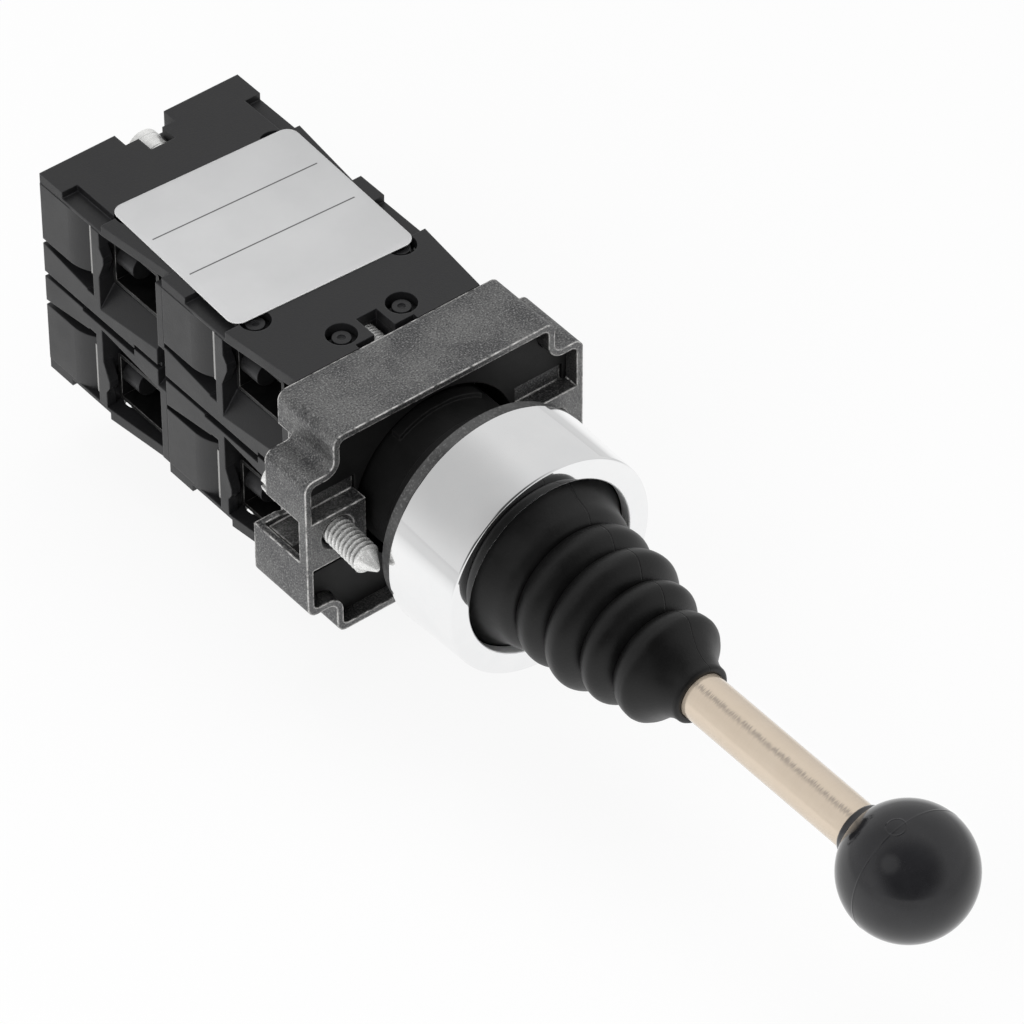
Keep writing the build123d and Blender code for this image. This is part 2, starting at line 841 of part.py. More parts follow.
def make_carrier(with_arm):
    """The sliding plunger plate with a window for the contact bridge."""
    carrier = slab(
        -carrier_half_width,
        carrier_half_width,
        carrier_start,
        carrier_end,
        carrier_low,
        carrier_high,
    )
    window_half = bridge_half_width + slip
    carrier -= slab(
        -carrier_half_width,
        carrier_half_width,
        carrier_window_start,
        bridge_rear,
        bridge_height - window_half,
        bridge_height + window_half,
    )
    if with_arm:
        arm_end = carrier_start + arm_thickness
        carrier += slab(-arm_outer, -carrier_half_width, carrier_start, arm_end, carrier_low, arm_high)
        leg_inner = -arm_outer + arm_leg_width
        carrier += slab(-arm_outer, leg_inner, carrier_start, arm_end, 2 * seam_gap, carrier_low)
    return carrier


def make_bridge():
    """The moving contact strip with a button near each end."""
    low = bridge_height - bridge_half_width
    high = bridge_height + bridge_half_width
    bridge = slab(-bridge_half_length, bridge_half_length, bridge_front, bridge_rear, low, high)
    button_end = bridge_rear + contact_thickness
    bridge += both_sides(along_y(contact_radius, bridge_rear, button_end, contact_x, bridge_height))
    return bridge


def make_contact_spring():
    """The spring in the carrier's window that presses the bridge against its far edge."""
    wound = coil(
        contact_spring_radius,
        contact_spring_wire,
        contact_spring_turns,
        carrier_window_start + running,
        bridge_front - running,
    )
    return Pos(0, 0, bridge_height) * wound


def make_fixed_contact():
    """One fixed contact on the +X side: button, strip and terminal plate in one piece."""
    high = bridge_height + bridge_half_width
    strip = slab(strip_inner, pocket_inner + slip, strip_front, strip_rear, strip_low, high)
    strip += slab(pocket_inner + slip, strip_outer, strip_front, strip_rear, cage_low, strip_top)
    button_start = strip_front - contact_thickness
    strip += along_y(contact_radius, button_start, strip_front, contact_x, bridge_height)
    strip -= along_y(
        terminal_screw_radius + slip,
        strip_front,
        strip_rear,
        terminal_x,
        terminal_height,
    )
    return strip


def make_cage():
    """One rising clamp on the +X side, a strap open along X for the wire."""
    low = cage_low
    high = terminal_height + cage_half_height
    inner = terminal_x - cage_half_width
    outer = terminal_x + cage_half_width
    strap = slab(inner, outer, cage_start, cage_end, low, high)
    strap = fillet(strap.edges().filter_by(Axis.X), cage_wall)
    strap -= slab(
        inner,
        outer,
        cage_start + cage_wall,
        cage_end - cage_wall,
        low + cage_wall,
        high - cage_wall,
    )
    strap -= along_y(terminal_screw_radius, cage_end - cage_wall, cage_end, terminal_x, terminal_height)
    return strap


def make_terminal_screw():
    """One terminal screw on the +X side, its slotted head towards the block's rear."""
    head_end = strip_rear + terminal_head_thickness
    screw = along_y(terminal_screw_radius, terminal_screw_tip, strip_rear, terminal_x, terminal_height)
    screw += along_y(terminal_head_radius, strip_rear, head_end, terminal_x, terminal_height)
    screw -= screw_slot(terminal_head_radius, head_end, slot_width, slot_depth, terminal_x, terminal_height)
    return screw


def place(shape, layer, row):
    """Put a block piece in its layer, upper or lower, and its row, front or rear."""
    start = front_block_start if row == "front" else rear_block_start
    moved = Pos(0, start, 0) * shape
    return moved if layer == "upper" else Rot(0, 180, 0) * moved


carrier_face = {
    "front": front_block_start + carrier_start,
    "rear": rear_block_start + carrier_start,
}
pushers = {
    "up": (0, pusher_offset, carrier_face["front"]),
    "down": (0, -pusher_offset, carrier_face["front"]),
    "left": (-pusher_offset, 0, carrier_face["rear"]),
    "right": (pusher_offset, 0, carrier_face["rear"]),
}

parts = {
    "bezel_ring": make_bezel(),
    "panel_gasket": make_gasket(),
    "head_body": make_head_body(),
    "gimbal_ring": make_gimbal_ring(),
    "trunnion_pins": make_trunnion_pins(),
    "lever_pin": make_lever_pin(),
    "lever_foot": make_lever_foot(),
    "lever_rod": make_lever_rod(),
    "knob": make_knob(),
    "bellows": make_bellows(),
    "guide_plate": make_guide_plate([(x, z) for x, z, _ in pushers.values()]),
    "bracket": make_bracket(),
    "base_plate": make_base_plate(),
    "clamp_screws": make_clamp_screws(),
}

for name, (x, z, end) in pushers.items():
    parts[f"pusher_{name}"] = make_pusher(x, z, end)
    parts[f"pusher_spring_{name}"] = make_pusher_spring(x, z)

block_pieces = {
    "housing": make_housing(),
    "cover": make_cover(),
    "contact_bridge": make_bridge(),
    "contact_spring": make_contact_spring(),
    "fixed_contacts": both_sides(make_fixed_contact()),
    "terminal_cages": both_sides(make_cage()),
    "terminal_screws": both_sides(make_terminal_screw()),
}
plungers = {"front": make_carrier(False), "rear": make_carrier(True)}
block_screw = make_block_screw()
block_screws = []

for row in ("front", "rear"):
    for layer in ("upper", "lower"):
        for name, piece in block_pieces.items():
            parts[f"{row}_{layer}_{name}"] = place(piece, layer, row)
        parts[f"{row}_{layer}_plunger"] = place(plungers[row], layer, row)
        block_screws.append(place(block_screw, layer, row))

parts["block_screws"] = block_screws[0] + block_screws[1] + block_screws[2] + block_screws[3]

for name, shape in parts.items():
    solids = shape.solids()
    export_step(solids[0] if len(solids) == 1 else Compound(solids), f"parts/{name}.step")
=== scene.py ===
import json
import math

import bmesh
import bpy
from mathutils import Matrix, Vector


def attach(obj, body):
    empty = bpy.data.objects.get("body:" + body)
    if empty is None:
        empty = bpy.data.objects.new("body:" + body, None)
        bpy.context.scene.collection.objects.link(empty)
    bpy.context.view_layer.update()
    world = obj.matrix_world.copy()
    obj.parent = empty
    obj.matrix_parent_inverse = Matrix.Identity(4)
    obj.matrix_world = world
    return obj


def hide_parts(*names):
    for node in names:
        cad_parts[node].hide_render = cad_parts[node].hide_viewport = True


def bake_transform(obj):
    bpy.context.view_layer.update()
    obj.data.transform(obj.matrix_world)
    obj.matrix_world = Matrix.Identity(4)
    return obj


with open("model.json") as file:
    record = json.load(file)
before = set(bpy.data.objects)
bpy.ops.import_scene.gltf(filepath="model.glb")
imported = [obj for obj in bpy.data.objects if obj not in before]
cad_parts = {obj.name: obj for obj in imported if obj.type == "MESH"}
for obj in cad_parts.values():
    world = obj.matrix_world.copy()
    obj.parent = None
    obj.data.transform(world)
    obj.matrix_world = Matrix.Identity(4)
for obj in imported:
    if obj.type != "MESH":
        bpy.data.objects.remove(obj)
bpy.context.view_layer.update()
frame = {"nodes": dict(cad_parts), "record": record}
nodes = frame["nodes"]

# In metres, in the frame of the solids: the panel's face is Y = 0, the lever points along -Y and
# +Z is the label side of the contact blocks. The floor leaves room for the ball when the lever is
# tilted down.
FLOOR_HEIGHT = -0.0268
CAMERA_TARGET = Vector((0.000712, -0.005061, 0.002435))
CAMERA_AZIMUTH = math.radians(-38.501)
CAMERA_ELEVATION = math.radians(42.804)
CAMERA_ROLL = math.radians(-0.198)
CAMERA_DISTANCE = 0.833697
CAMERA_LENS = 254.7

# Directions in the room that the glossy surfaces mirror.
ROOM_DARK_SIDE = (-0.457, -0.574, 0.68)
ROOM_DULL_SIDE = (-0.46, 0.574, 0.68)
ROOM_WINDOW = (-0.682, -0.028, 0.731)

# From here on in millimetres, unless multiplied by MM.
MM = 0.001
BEZEL_REAR = -1.9
BEZEL_FRONT = -12.96
BEZEL_HOLE_RADIUS = 11.75
BLOCK_STARTS = (16.85, 41.1)
BLOCK_DEPTH = 24.2
BLOCK_TOP = 15.3
BLOCK_SCREW_HEIGHT = 12.2
BLOCK_SCREW_RADIUS = 1.3
BLOCK_HEAD_RADIUS = 2.3

# The clamp screws stand on both sides of the head, one a little high and one a little low.
CLAMP_CENTRE = (15.9, 0.7)
CLAMP_THREAD = (1.87, 0.42, 0.72)
CLAMP_REACH = (0.6, 15.75)
CLAMP_TIP = ((0.001, -1.55), (0.2, -1.55), (0.35, -1.45), (1.5, 0.62), (1.0, 0.9), (0.001, 0.9))
CLAMP_HEAD = (2.65, 15.7, 18.1)
CLAMP_LEAN = (math.radians(1.6), math.radians(2.0))
CLAMP_HELD_AT = 3.3

# The ball, its parting line and the round trace of its gate.
KNOB_CENTRE = -75.53
KNOB_RADIUS = 8.1
KNOB_COLLAR = 3.42
KNOB_REACH = 8.35
KNOB_BORE = 3.03
KNOB_RIDGE = 0.035
GATE_MARK = (-1.85 * MM, -75.22 * MM, 7.88 * MM)

# The label's middle and turn on the blocks' top, and its ruled lines along its own length.
LABEL_MIDDLE = (0.2, 41.13)
LABEL_SIZE = 26.0
LABEL_CORNER = 1.6
LABEL_TURN = math.radians(-2.5)
LABEL_LINES = (5.4, -2.3)

# The bellows' outer line as (radius, reach in front of the bezel): base ring, folds and mouth.
BELLOWS_BASE = (
    (11.7, -1.62), (11.66, -1.5), (11.45, -1.3), (11.2, -1.0), (10.88, -0.5), (10.6, 0.0),
    (10.36, 0.5), (10.14, 1.0), (9.98, 1.5), (9.86, 2.0), (9.74, 2.5), (9.55, 3.0),
    (9.28, 3.4), (8.88, 3.8), (8.5, 4.08),
)
BELLOWS_VALLEYS = ((8.0, 4.25), (7.3, 8.95), (6.5, 14.1), (5.3, 18.7))
BELLOWS_PEAKS = ((9.36, 6.55), (9.28, 11.6), (8.08, 16.35), (7.16, 21.4))
BELLOWS_MOUTH = (
    (7.17, 21.6), (7.08, 21.95), (6.75, 22.4), (6.3, 22.8), (5.85, 23.2), (5.4, 23.65),
    (5.0, 24.1), (4.66, 24.5), (4.38, 25.0), (4.14, 25.5), (3.97, 26.0), (3.88, 26.5),
    (3.85, 26.95), (3.7, 27.16), (3.4, 27.24), (3.06, 27.2),
)
BELLOWS_WALL = 0.85
SEAM_ANGLES = (1.275, -1.867)
# The angle round the rod where its painted dark reflection runs.
ROD_DARK_REFLECTION_ANGLE = 2.22


# ------------------------------------------------------------------ materials


class Surface:
    """A Principled material being wired. Each method adds a node and returns its output."""

    def __init__(self, name, **values):
        self.material = bpy.data.materials.new(name)
        self.material.use_nodes = True
        self.tree = self.material.node_tree
        self.shader = self.tree.nodes["Principled BSDF"]
        self.place = self.add("ShaderNodeTexCoord").outputs["Object"]
        self.set(**values)

    def add(self, kind, **settings):
        node = self.tree.nodes.new(kind)
        for key, value in settings.items():
            setattr(node, key, value)
        return node

    def feed(self, socket, value):
        """Links a node's output to a socket, or sets a plain value on it."""
        if isinstance(value, bpy.types.NodeSocket):
            self.tree.links.new(value, socket)
        else:
            socket.default_value = value

    def set(self, **values):
        """Sets or links the shader's sockets; an underscore in a name stands for a space."""
        for name, value in values.items():
            socket = self.shader.inputs[name.replace("_", " ").title().replace("Ior", "IOR")]
            if isinstance(value, tuple):
                value = (*value, 1.0)
            self.feed(socket, value)

    def stretched(self, scale):
        """The object's coordinates scaled differently along each axis."""
        mapping = self.add("ShaderNodeMapping")
        self.feed(mapping.inputs["Vector"], self.place)
        mapping.inputs["Scale"].default_value = scale
        return mapping.outputs["Vector"]

    def noise(self, scale, detail=3.0, roughness=0.55, at=None):
        node = self.add("ShaderNodeTexNoise")
        self.feed(node.inputs["Vector"], at or self.place)
        node.inputs["Scale"].default_value = scale
        node.inputs["Detail"].default_value = detail
        node.inputs["Roughness"].default_value = roughness
        return node.outputs["Fac"]

    def cells(self, scale):
        node = self.add("ShaderNodeTexVoronoi")
        self.feed(node.inputs["Vector"], self.place)
        node.inputs["Scale"].default_value = scale
        return node.outputs["Distance"]

    def span(self, value, low, high, to_low=0.0, to_high=1.0):
        """Maps low..high to to_low..to_high, clamped."""
        node = self.add("ShaderNodeMapRange")
        for name, number in (("From Min", low), ("From Max", high), ("To Min", to_low), ("To Max", to_high)):
            node.inputs[name].default_value = number
        self.feed(node.inputs["Value"], value)
        return node.outputs["Result"]

    def sum(self, first, second, operation="ADD"):
        node = self.add("ShaderNodeMath", operation=operation)
        self.feed(node.inputs[0], first)
        self.feed(node.inputs[1], second)
        return node.outputs[0]

    def mix(self, factor, first, second):
        """A colour between two colours."""
        node = self.add("ShaderNodeMix", data_type="RGBA")
        self.feed(node.inputs[0], factor)
        for socket, colour in ((node.inputs[6], first), (node.inputs[7], second)):
            self.feed(socket, (*colour, 1.0) if isinstance(colour, tuple) else colour)
        return node.outputs[2]

    def axes(self, at=None):
        """The X, Y and Z of a point on the object."""
        node = self.add("ShaderNodeSeparateXYZ")
        self.feed(node.inputs[0], at or self.place)
        return node.outputs

    def near(self, value, middle, width, soft=0.5):
        """1 where a value is within width of middle, fading to 0 over the soft share of it."""
        gap = self.sum(self.sum(value, middle, "SUBTRACT"), 0.0, "ABSOLUTE")
        return self.span(gap, width, width * (1 - soft))

    def rounded(self, radius):
        """The surface normal with its sharp edges rounded, and how close a point is to an edge."""
        bevel = self.add("ShaderNodeBevel", samples=6)
        bevel.inputs["Radius"].default_value = radius
        flat = self.add("ShaderNodeNewGeometry").outputs["Normal"]
        dot = self.add("ShaderNodeVectorMath", operation="DOT_PRODUCT")
        self.feed(dot.inputs[0], bevel.outputs["Normal"])
        self.feed(dot.inputs[1], flat)
        return bevel.outputs["Normal"], self.span(dot.outputs["Value"], 1.0, 0.9)

    def bump(self, height, depth, normal=None):
        node = self.add("ShaderNodeBump")
        node.inputs["Strength"].default_value = 1.0
        node.inputs["Distance"].default_value = depth
        self.feed(node.inputs["Height"], height)
        if normal is not None:
            self.feed(node.inputs["Normal"], normal)
        return node.outputs["Normal"]


def moulded_plastic(name, dark, light, roughness, gloss=0.5):
    """Black moulded plastic: a fine spark-eroded grain, cloudy gloss, lighter scuffs and a painted highlight
    along its edges.
    """
    s = Surface(name, specular_ior_level=gloss)
    normal, rim = s.rounded(0.00022)
    cloud = s.noise(140, detail=5, roughness=0.6)
    fine = s.noise(5200, detail=2)
    scuff = s.span(s.noise(900, detail=6, roughness=0.7, at=s.stretched((1.0, 3.0, 1.0))), 0.62, 0.75)
    colour = s.mix(s.span(cloud, 0.3, 0.7), dark, light)
    # Painted highlight on the edges (rim), together with real lighter scuffs: both lift the colour towards five
    # times the light tone.
    scuffs_and_edge_highlight = s.sum(s.sum(rim, 0.3, "MULTIPLY"), s.sum(scuff, 0.1, "MULTIPLY"))
    s.set(base_color=s.mix(scuffs_and_edge_highlight, colour, tuple(5 * c for c in light)))
    low, high = roughness
    s.set(roughness=s.span(s.sum(cloud, s.sum(fine, 0.3, "MULTIPLY")), 0.45, 0.85, low, high))
    s.set(normal=s.bump(fine, 0.00002, normal))
    return s.material


def cast_zinc():
    """Die-cast zinc: grey with fine pits and speckle, tumbled bright on its edges."""
    s = Surface("cast_zinc")
    normal, rim = s.rounded(0.00035)
    blotch = s.noise(180, detail=6, roughness=0.62)
    speck = s.noise(4600, detail=3, roughness=0.62)
    pits = s.cells(2600)
    colour = s.mix(s.span(blotch, 0.4, 0.62), (0.108, 0.108, 0.11), (0.212, 0.212, 0.21))
    colour = s.mix(s.span(speck, 0.53, 0.66, 0.0, 0.65), colour, (0.46, 0.46, 0.455))
    colour = s.mix(s.span(speck, 0.47, 0.34, 0.0, 0.7), colour, (0.03, 0.03, 0.032))
    patchy = s.sum(rim, s.span(s.noise(1100, detail=4, roughness=0.65), 0.36, 0.56), "MULTIPLY")
    s.set(base_color=s.mix(patchy, colour, (0.88, 0.87, 0.85)))
    s.set(metallic=s.span(patchy, 0.0, 1.0, 0.82, 0.2))
    s.set(roughness=s.span(s.sum(blotch, s.sum(speck, 0.5, "MULTIPLY")), 0.5, 1.0, 0.38, 0.62))
    grain = s.sum(speck, s.span(pits, 0.0, 0.35))
    s.set(normal=s.bump(grain, 0.000022, normal))
    return s.material


def plated(name, colour, roughness, metal=0.85, painted_groove_shade=False):
    """Bright plated or turned metal with a faint mottle, and painted shade in its grooves if asked."""
    s = Surface(name, metallic=metal)
    normal, _ = s.rounded(0.00012)
    cloud = s.noise(500, detail=4, roughness=0.6)
    mottle = s.noise(2600, detail=4, roughness=0.6)
    dim = tuple(0.82 * c for c in colour)
    colour = s.mix(s.span(s.sum(cloud, mottle), 0.8, 1.2), dim, colour)
    if painted_groove_shade:
        # Painted shade: ambient occlusion darkens the colour towards 0.1 in the thread grooves and tight
        # corners.
        groove_shade = s.add("ShaderNodeAmbientOcclusion", samples=8)
        groove_shade.inputs["Distance"].default_value = 0.0006
        colour = s.mix(s.span(groove_shade.outputs["AO"], 0.4, 0.8), (0.1, 0.1, 0.1), colour)
    s.set(base_color=colour)
    low, high = roughness
    s.set(roughness=s.span(mottle, 0.3, 0.7, low, high))
    s.set(normal=s.bump(mottle, 0.000003, normal))
    return s.material


def chrome():
    """Polished chrome with a faint haze and turning hairlines, left dull and pale in its hole."""
    s = Surface("chrome_bezel")
    haze = s.noise(150, detail=4, roughness=0.6)
    hair = s.noise(900, detail=4, roughness=0.7, at=s.stretched((0.25, 6.0, 0.25)))
    s.set(base_color=s.mix(s.span(haze, 0.3, 0.7), (0.88, 0.885, 0.89), (0.92, 0.92, 0.92)))
    x, _, z = s.axes()
    out = s.sum(s.sum(s.sum(x, x, "MULTIPLY"), s.sum(z, z, "MULTIPLY")), 0.5, "POWER")
    bore = s.span(out, (BEZEL_HOLE_RADIUS + 0.2) * MM, (BEZEL_HOLE_RADIUS + 0.05) * MM)
    gloss = s.span(s.sum(haze, s.sum(hair, 0.4, "MULTIPLY")), 0.5, 0.9, 0.03, 0.075)
    s.set(roughness=s.sum(gloss, s.sum(bore, 0.5, "MULTIPLY")))
    s.set(metallic=s.span(bore, 0.0, 1.0, 1.0, 0.15))
    s.set(normal=s.bump(hair, 0.0000004))
    return s.material


def dark_strap_steel():
    """Very dark strap steel, its edges painted bright in patches: partly rubbed metal, partly painted
    highlight.
    """
    s = Surface("cage_steel", metallic=0.9)
    normal, rim = s.rounded(0.00012)
    cloud = s.noise(420, detail=5, roughness=0.6)
    lines = s.noise(1800, detail=4, roughness=0.6, at=s.stretched((0.4, 3.0, 1.0)))
    colour = s.mix(s.span(cloud, 0.3, 0.7), (0.018, 0.018, 0.019), (0.05, 0.05, 0.05))
    # Painted highlight together with rubbing: patches along the edges go bright towards 0.3.
    patchy = s.sum(rim, s.span(s.noise(700, detail=3), 0.35, 0.6), "MULTIPLY")
    s.set(base_color=s.mix(patchy, colour, (0.3, 0.295, 0.285)))
    s.set(roughness=s.span(lines, 0.3, 0.7, 0.34, 0.52))
    s.set(normal=s.bump(lines, 0.000005, normal))
    return s.material


def rubber(name, dark, light, roughness, speck_scale, speck_share, seam=False):
    """Moulded rubber: dull, with fine specks of dust, and the mould's seam down both sides if asked."""
    s = Surface(name, specular_ior_level=0.34)
    cloud = s.noise(160, detail=5, roughness=0.6)
    fine = s.noise(speck_scale, detail=3, roughness=0.65)
    colour = s.mix(s.span(cloud, 0.3, 0.7), dark, tuple(0.6 * c for c in light))
    low, high = speck_share
    s.set(base_color=s.mix(s.span(fine, low, high), colour, light))
    near, far = roughness
    s.set(roughness=s.span(cloud, 0.3, 0.7, near, far))
    height = fine
    if seam:
        x, _, z = s.axes()
        around = s.sum(s.sum(z, x, "ARCTAN2"), s.sum(cloud, 0.03, "MULTIPLY"))
        lines = [s.near(around, angle, 0.016, 0.6) for angle in SEAM_ANGLES]
        height = s.sum(s.sum(fine, 0.15, "MULTIPLY"), s.sum(*lines, "MAXIMUM"), "SUBTRACT")
    s.set(normal=s.bump(height, 0.00012 if seam else 0.000018))
    return s.material


def lever_metal():
    """Turned rod, pale and warm: fine rings, and one painted dark reflection along it that the rings break into
    teeth.
    """
    s = Surface("lever_metal", metallic=0.5)
    rings = s.noise(1500, detail=2, roughness=0.5, at=s.stretched((0.25, 4.0, 0.25)))
    cloud = s.noise(260, detail=4, roughness=0.6)
    tone = s.span(s.sum(cloud, s.sum(rings, 0.6, "MULTIPLY")), 0.6, 1.0)
    colour = s.mix(tone, (0.665, 0.563, 0.45), (0.69, 0.588, 0.476))
    x, _, z = s.axes()
    around = s.sum(z, x, "ARCTAN2")
    wander = s.sum(around, s.sum(rings, 0.5, "MULTIPLY"))
    # Painted reflection: a dark band at one angle round the rod, broken into teeth by the rings.
    band = s.near(wander, ROD_DARK_REFLECTION_ANGLE, 0.17, 0.8)
    painted_dark_reflection = s.sum(band, s.span(rings, 0.3, 0.52), "MULTIPLY")
    s.set(base_color=s.mix(s.sum(painted_dark_reflection, 0.6, "MULTIPLY"), colour, (0.24, 0.21, 0.185)))
    s.set(roughness=s.span(rings, 0.3, 0.7, 0.1, 0.17))
    s.set(normal=s.bump(rings, 0.0000012))
    return s.material


def ball_plastic():
    """Glossy pressed phenolic with a faint parting line round the ball."""
    s = Surface("knob_plastic", specular_ior_level=0.5)
    cloud = s.noise(130, detail=5, roughness=0.6)
    fine = s.noise(2400, detail=3)
    s.set(base_color=s.mix(s.span(cloud, 0.3, 0.7), (0.008, 0.008, 0.009), (0.018, 0.018, 0.02)))
    s.set(roughness=s.span(s.sum(cloud, s.sum(fine, 0.3, "MULTIPLY")), 0.45, 0.85, 0.08, 0.16))
    reach = s.add("ShaderNodeVectorMath", operation="DISTANCE")
    s.feed(reach.inputs[0], s.place)
    reach.inputs[1].default_value = GATE_MARK
    gate = s.near(reach.outputs["Value"], 0.00115, 0.00012, 0.8)
    s.set(normal=s.bump(s.sum(gate, s.sum(fine, 0.12, "MULTIPLY")), 0.00004))
    return s.material


def label_paper():
    """Light grey foil label, bare apart from two ruled lines, its cut edge bright."""
    s = Surface("label_paper", specular_ior_level=0.4)
    normal, rim = s.rounded(0.00016)
    grain = s.noise(3000, detail=3)
    cloud = s.noise(120, detail=4)
    colour = s.mix(s.span(cloud, 0.3, 0.7), (0.49, 0.492, 0.496), (0.53, 0.532, 0.535))
    turned = s.add("ShaderNodeMapping", vector_type="TEXTURE")
    s.feed(turned.inputs["Vector"], s.place)
    turned.inputs["Location"].default_value = (LABEL_MIDDLE[0] * MM, LABEL_MIDDLE[1] * MM, 0)
    turned.inputs["Rotation"].default_value = (0, 0, LABEL_TURN)
    across, along, _ = s.axes(turned.outputs["Vector"])
    within = s.near(across, -0.0002, 0.0118, 0.005)
    first, second = (s.near(along, line * MM, 0.00013, 0.5) for line in LABEL_LINES)
    ink = s.sum(s.sum(first, second, "MAXIMUM"), within, "MULTIPLY")
    colour = s.mix(s.sum(ink, 0.9, "MULTIPLY"), colour, (0.03, 0.03, 0.03))
    s.set(base_color=s.mix(rim, colour, (0.92, 0.92, 0.92)))
    s.set(roughness=s.span(grain, 0.3, 0.7, 0.38, 0.5))
    s.set(normal=s.bump(grain, 0.000004, normal))
    return s.material


BLACK = ((0.008, 0.008, 0.0085), (0.014, 0.014, 0.015))
HEAD_BLACK = ((0.004, 0.004, 0.004), (0.009, 0.009, 0.009))
NYLON = ((0.60, 0.59, 0.56), (0.22, 0.22, 0.21))
GASKET = ((0.018, 0.018, 0.018), (0.16, 0.16, 0.16))
BOOT = ((0.0025, 0.0025, 0.0025), (0.012, 0.012, 0.012))

finishes = {
    "black_housing": moulded_plastic("black_housing", *BLACK, (0.36, 0.5)),
    "black_cover": moulded_plastic("black_cover", *BLACK, (0.4, 0.56)),
    "head_plastic": moulded_plastic("head_plastic", *HEAD_BLACK, (0.55, 0.7), 0.35),
    "white_nylon": moulded_plastic("white_nylon", *NYLON, (0.4, 0.5)),
    "cast_zinc": cast_zinc(),
    "chrome_bezel": chrome(),
    "cage_steel": dark_strap_steel(),
    "tinned_contact": plated("tinned_contact", (0.45, 0.445, 0.435), (0.3, 0.45)),
    "plated_steel": plated("plated_steel", (0.90, 0.90, 0.885), (0.2, 0.32), metal=0.6, painted_groove_shade=True),
    "terminal_steel": plated("terminal_steel", (0.06, 0.06, 0.062), (0.34, 0.5)),
    "machined_steel": plated("machined_steel", (0.56, 0.56, 0.57), (0.25, 0.4)),
    "pusher_steel": plated("pusher_steel", (0.62, 0.62, 0.63), (0.2, 0.3)),
    "spring_steel": plated("spring_steel", (0.6, 0.6, 0.62), (0.25, 0.4)),
    "contact_brass": plated("contact_brass", (0.76, 0.60, 0.36), (0.2, 0.36)),
    "gasket_rubber": rubber("gasket_rubber", *GASKET, (0.7, 0.85), 3000, (0.52, 0.78)),
    "bellows_rubber": rubber("bellows_rubber", *BOOT, (0.36, 0.46), 3400, (0.62, 0.86), seam=True),
    "lever_metal": lever_metal(),
    "knob_plastic": ball_plastic(),
    "label_paper": label_paper(),
}


def dress_solids():
    """Gives every CAD node the finish of its material slot, and the terminal screws a dark plating."""
    for part in frame["record"]["subparts"]:
        solid = nodes[part["node"]]
        solid.data.materials.clear()
        finish = "terminal_steel" if part["node"].endswith("terminal_screws") else part["material_slot"]
        solid.data.materials.append(finishes[finish])


# ------------------------------------------------------------------ shapes, in millimetres


def add_piece(name, vertices, faces, slot_name, soft_angle=35):
    """A mesh piece from millimetre vertices, smooth except along edges sharper than soft_angle."""
    mesh = bpy.data.meshes.new(name)
    mesh.from_pydata([Vector(v) * MM for v in vertices], [], faces)
    mesh.validate()
    shape = bmesh.new()
    shape.from_mesh(mesh)
    bmesh.ops.remove_doubles(shape, verts=shape.verts, dist=1e-7)
    bmesh.ops.recalc_face_normals(shape, faces=shape.faces)
    for face in shape.faces:
        face.smooth = True
    for edge in shape.edges:
        if len(edge.link_faces) == 2 and edge.calc_face_angle() > math.radians(soft_angle):
            edge.smooth = False
    shape.to_mesh(mesh)
    shape.free()
    piece = bpy.data.objects.new(name, mesh)
    bpy.context.scene.collection.objects.link(piece)
    mesh.materials.append(finishes[slot_name])
    return piece


def rounded_outline(corners, steps=5):
    """Corners of (u, v, radius), each rounded by an arc between its two tangent points."""
    outline = []
    for index, (u, v, radius) in enumerate(corners):
        here = Vector((u, v))
        if radius == 0:
            outline.append(here)
            continue
        before = (Vector(corners[index - 1][:2]) - here).normalized()
        after = (Vector(corners[(index + 1) % len(corners)][:2]) - here).normalized()
        half = before.angle(after) / 2
        reach = radius / math.tan(half)
        centre = here + (before + after).normalized() * radius / math.sin(half)
        first, last = here + before * reach - centre, here + after * reach - centre
        sweep = first.angle_signed(last)
        for step in range(steps + 1):
            turn = -sweep * step / steps
            cosine, sine = math.cos(turn), math.sin(turn)
            across, along = cosine * first.x - sine * first.y, sine * first.x + cosine * first.y
            outline.append(centre + Vector((across, along)))
    return outline


def lathe(outline, steps=192, closed=True, centre=(0, 0)):
    """Vertices and faces of (radius, y) points turned about a line along Y."""
    vertices, faces = [], []
    for index in range(steps):
        angle = 2 * math.pi * index / steps
        cosine, sine = math.cos(angle), math.sin(angle)
        vertices += [(centre[0] + r * cosine, y, centre[1] + r * sine) for r, y in outline]
    count = len(outline)
    for index in range(steps):
        here, there = index * count, (index + 1) % steps * count
        for j in range(count if closed else count - 1):
            k = (j + 1) % count
            faces.append((here + j, here + k, there + k, there + j))
    return vertices, faces


def bands(count, levels):
    """The faces between levels + 1 rings of count vertices, each ring after the last."""
    faces = []
    for level in range(levels):
        here, there = level * count, (level + 1) * count
        faces += [(here + j, here + (j + 1) % count, there + (j + 1) % count, there + j) for j in range(count)]
    return faces


def prism(outline, y0, y1, centre=(0, 0), bevel=0.0):
    """A closed (x, z) outline given depth along Y, its rims set in by bevel."""
    middle = sum((Vector(p) for p in outline), Vector((0, 0))) / len(outline)
    rings = []
    for y, inset in ((y0, bevel), (y0 + bevel, 0), (y1 - bevel, 0), (y1, bevel)):
        ring = []
        for point in outline:
            away = Vector(point) - middle
            spot = middle + away * (1 - inset / max(away.length, bevel + 0.01))
            ring.append((spot.x + centre[0], y, spot.y + centre[1]))
        rings.append(ring)
    count = len(outline)
    vertices = [v for ring in rings for v in ring]
    faces = [tuple(range(count)), tuple(reversed(range(3 * count, 4 * count)))]
    return vertices, faces + bands(count, 3)


def joined(*shapes):
    """Several (vertices, faces) pairs as one."""
    vertices, faces = [], []
    for more_vertices, more_faces in shapes:
        start = len(vertices)
        vertices += more_vertices
        faces += [tuple(start + i for i in face) for face in more_faces]
    return vertices, faces


